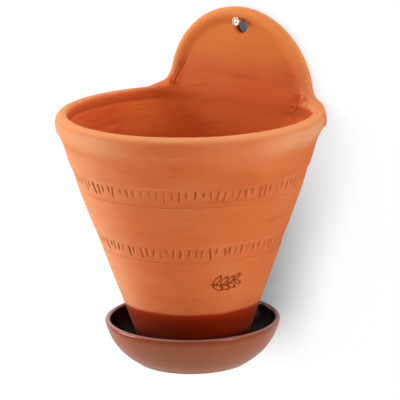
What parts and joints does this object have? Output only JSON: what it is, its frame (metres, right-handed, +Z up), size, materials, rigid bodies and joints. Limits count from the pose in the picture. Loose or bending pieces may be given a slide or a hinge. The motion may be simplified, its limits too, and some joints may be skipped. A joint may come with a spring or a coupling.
{
  "type": "wall planter",
  "caption": "Hanging terracotta wall planter: a flat-backed conical bowl with a rounded hanging tab, a fixed glazed saucer and a steel wall nail.",
  "frame": {"origin": "where the nail's axis meets the face of the wall", "axes": "+X to the right as the planter is seen from the room, +Y into the wall along the nail, +Z up"},
  "size_m": [0.2002, 0.2001, 0.2599],
  "materials": {
    "terracotta": "matt fired clay, dark glaze on the foot",
    "clay_coil": "matt fired clay, pressed by finger",
    "glazed_saucer": "satin outside, dark gloss inside",
    "nail_steel": "bright zinc-plated steel"
  },
  "bodies": {
    "nail": {"wall_nail": "nail_steel"},
    "planter": {"thrown_bowl": "terracotta", "back_slab": "terracotta", "seam_coil": "clay_coil", "foot_coil": "clay_coil", "saucer": "glazed_saucer"}
  },
  "joints": [
    {"name": "lift_off", "type": "slide", "parent": "nail", "child": "planter", "axis": [0, -0.9272, 0.3746], "range_m": [0, 0.045]}
  ]
}
